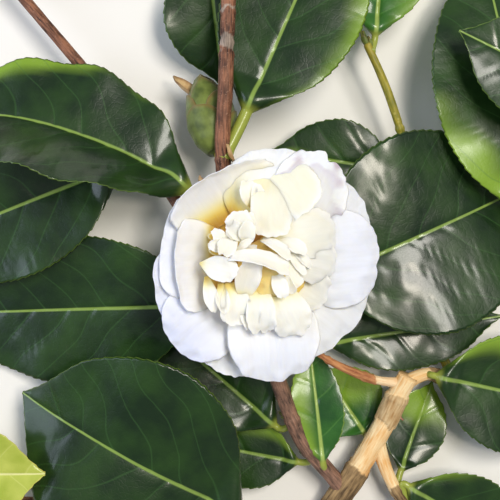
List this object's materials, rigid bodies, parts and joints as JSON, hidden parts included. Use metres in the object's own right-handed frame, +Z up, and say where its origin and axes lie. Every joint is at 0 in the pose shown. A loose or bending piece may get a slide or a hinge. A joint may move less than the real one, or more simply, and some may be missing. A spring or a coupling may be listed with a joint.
{
  "type": "cut flowering camellia branch",
  "caption": "Cut branch of a camellia lying flat: an older limb with leafy shoots, broad glossy leaves, a closed bud and a white bloom with a crowded cream heart.",
  "frame": {"origin": "middle of the ground outline of the branch, on the surface it lies on", "axes": "+Z up off the surface, +Y from the cut end of the limb towards the tips, +X to the right seen from above"},
  "size_m": [0.2927, 0.302, 0.0716],
  "materials": {
    "old_bark": "matte, finely cracked",
    "young_bark": "satin, finely speckled",
    "green_shoot": "satin",
    "leaf": "glossy above, matte below",
    "petal": "soft matte",
    "bud": "satin"
  },
  "bodies": {
    "root": {"older_limb": "old_bark", "lower_arm": "old_bark", "right_shoot": "old_bark", "right_shoot_upper": "old_bark", "flowering_stem": "young_bark", "left_stem": "young_bark", "lower_left_stem": "young_bark", "right_twig": "young_bark", "young_shoot": "green_shoot", "calyx": "bud", "bloom": "petal", "flower_bud": "bud", "leaf_01": "leaf", "leaf_02": "leaf", "leaf_03": "leaf", "leaf_04": "leaf", "leaf_05": "leaf", "leaf_06": "leaf", "leaf_07": "leaf", "leaf_08": "leaf", "leaf_09": "leaf", "leaf_10": "leaf", "leaf_11": "leaf", "leaf_12": "leaf", "leaf_13": "leaf", "leaf_14": "leaf", "leaf_15": "leaf", "leaf_16": "leaf", "leaf_17": "leaf", "leaf_18": "leaf", "leaf_19": "leaf", "leaf_20": "leaf", "leaf_21": "leaf", "leaf_22": "leaf", "leaf_23": "leaf", "leaf_24": "leaf"}
  },
  "joints": []
}
